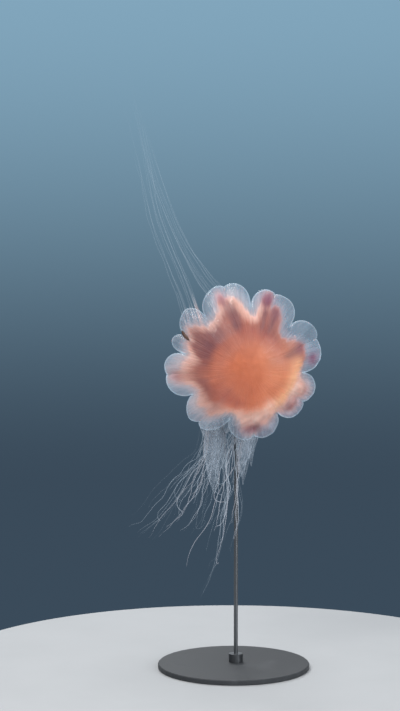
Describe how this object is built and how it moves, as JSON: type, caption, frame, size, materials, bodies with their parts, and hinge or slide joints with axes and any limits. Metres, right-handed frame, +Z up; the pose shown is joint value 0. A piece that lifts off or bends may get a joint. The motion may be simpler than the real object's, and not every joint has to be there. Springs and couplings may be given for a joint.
{
  "type": "lion's mane jellyfish",
  "caption": "Life-size lion's mane jellyfish with a lobed bell, frilly oral arms and trailing tentacles, on a rod stand with a round base.",
  "frame": {"origin": "centre of the stand base's underside", "axes": "+Z up, -Y the way the bell faces, +X to the right as seen from in front of it"},
  "size_m": [0.39, 0.4598, 1.1782],
  "materials": {
    "pale_jelly": "translucent, wet",
    "amber_jelly": "translucent, wet",
    "tentacle": "translucent, wet",
    "stand_paint": "satin black",
    "stand_steel": "blackened, satin"
  },
  "bodies": {
    "root": {"bell_crown": "amber_jelly", "bell_lobe_1": "pale_jelly", "bell_lobe_2": "pale_jelly", "bell_lobe_3": "pale_jelly", "bell_lobe_4": "pale_jelly", "bell_lobe_5": "pale_jelly", "bell_lobe_6": "pale_jelly", "bell_lobe_7": "pale_jelly", "bell_lobe_8": "pale_jelly", "gonad_1": "amber_jelly", "gonad_2": "amber_jelly", "gonad_3": "amber_jelly", "gonad_4": "amber_jelly", "mouth": "amber_jelly", "oral_arm_1_lower": "amber_jelly", "oral_arm_1_upper": "amber_jelly", "oral_arm_2_lower": "amber_jelly", "oral_arm_2_upper": "amber_jelly", "oral_arm_3_lower": "amber_jelly", "oral_arm_3_upper": "amber_jelly", "oral_arm_4_lower": "amber_jelly", "oral_arm_4_upper": "amber_jelly", "stand_base": "stand_paint", "stand_collar": "stand_steel", "stand_plate": "stand_steel", "stand_rod": "stand_steel", "tentacle_1_2_end": "tentacle", "tentacle_1_3_end": "tentacle", "tentacle_2_2_end": "tentacle", "tentacle_2_3_end": "tentacle", "tentacle_3_2_end": "tentacle", "tentacle_3_3_end": "tentacle", "tentacle_4_2_end": "tentacle", "tentacle_4_3_end": "tentacle", "tentacle_4_4_end": "tentacle", "tentacle_5_2_end": "tentacle", "tentacle_5_3_end": "tentacle", "tentacle_5_4_end": "tentacle", "tentacle_5_5_end": "tentacle", "tentacle_6_2_end": "tentacle", "tentacle_6_3_end": "tentacle", "tentacle_6_4_end": "tentacle", "tentacle_6_5_end": "tentacle", "tentacle_7_2_end": "tentacle", "tentacle_7_3_end": "tentacle", "tentacle_7_4_end": "tentacle", "tentacle_7_5_end": "tentacle", "tentacle_8_2_end": "tentacle", "tentacle_8_3_end": "tentacle", "tentacle_group_1": "tentacle", "tentacle_group_2": "tentacle", "tentacle_group_3": "tentacle", "tentacle_group_4": "tentacle", "tentacle_group_5": "tentacle", "tentacle_group_6": "tentacle", "tentacle_group_7": "tentacle", "tentacle_group_8": "tentacle"}
  },
  "joints": []
}
